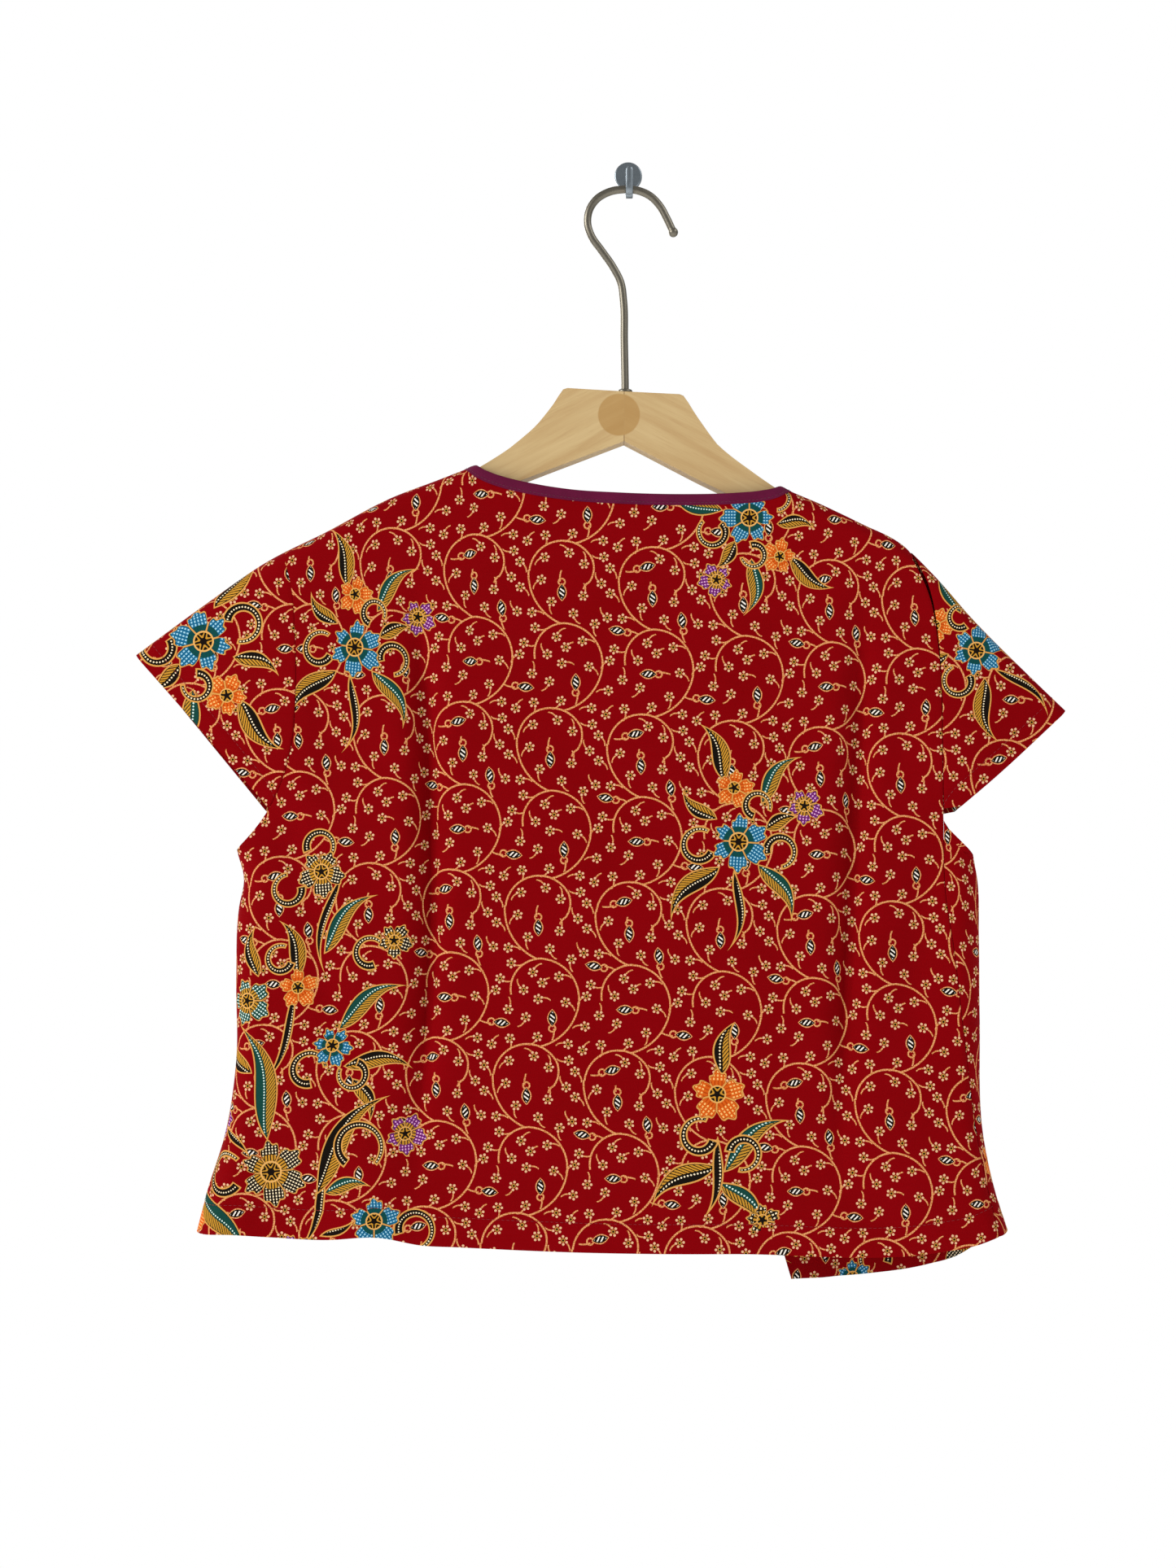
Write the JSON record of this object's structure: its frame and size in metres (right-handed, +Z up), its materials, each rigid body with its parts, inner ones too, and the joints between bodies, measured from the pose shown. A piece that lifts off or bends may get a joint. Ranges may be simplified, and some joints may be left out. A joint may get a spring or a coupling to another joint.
{
  "type": "crop top on a hanger and wall hook",
  "caption": "Short red batik top with cap sleeves and a bound neck, hung back outwards on a wooden hanger from a small wall hook.",
  "frame": {"origin": "middle of the wall hook's plate, on the wall", "axes": "+X to the right as the garment's back is seen, +Y into the wall, +Z up; the back faces -Y"},
  "size_m": [0.5795, 0.0542, 0.7111],
  "materials": {
    "cotton": "matt printed cotton",
    "binding": "matt plain cotton",
    "wood": "satin lacquer",
    "nickel": "satin nickel",
    "steel": "satin"
  },
  "bodies": {
    "root": {"back": "cotton", "front_over": "cotton", "front_under": "cotton", "sleeve_left": "cotton", "sleeve_right": "cotton", "binding_back": "binding", "binding_over": "binding", "binding_under": "binding", "hanger": "wood", "hanger_hook": "nickel", "wall_hook": "steel"}
  },
  "joints": []
}
